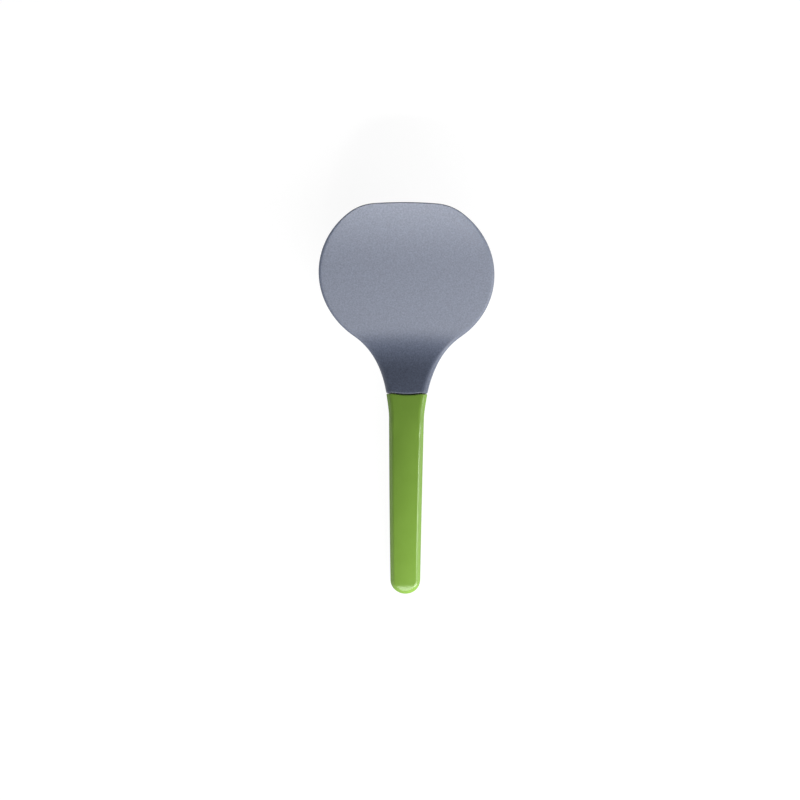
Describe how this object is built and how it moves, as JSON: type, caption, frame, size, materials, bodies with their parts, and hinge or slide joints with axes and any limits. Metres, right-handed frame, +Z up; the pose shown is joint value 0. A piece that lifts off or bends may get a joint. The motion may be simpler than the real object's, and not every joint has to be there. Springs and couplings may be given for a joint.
{
  "type": "pancake spatula",
  "caption": "Pancake spatula with a broad round nylon blade, a narrowing bent neck and an arched gloss plastic handle, for sliding under and turning pancakes.",
  "frame": {"origin": "on the table, below the middle of the tool's bounding box, as it lies on its heel and the end of its handle", "axes": "+Y along the tool towards the blade's front edge, +Z up, +X to the right seen from above with the blade away from the viewer"},
  "size_m": [0.114, 0.2544, 0.0522],
  "materials": {
    "nylon": "satin grey nylon with a fine moulded grain",
    "gloss_green": "smooth glossy leaf green"
  },
  "bodies": {
    "root": {"nylon_head": "nylon", "grip_handle": "gloss_green"}
  },
  "joints": []
}
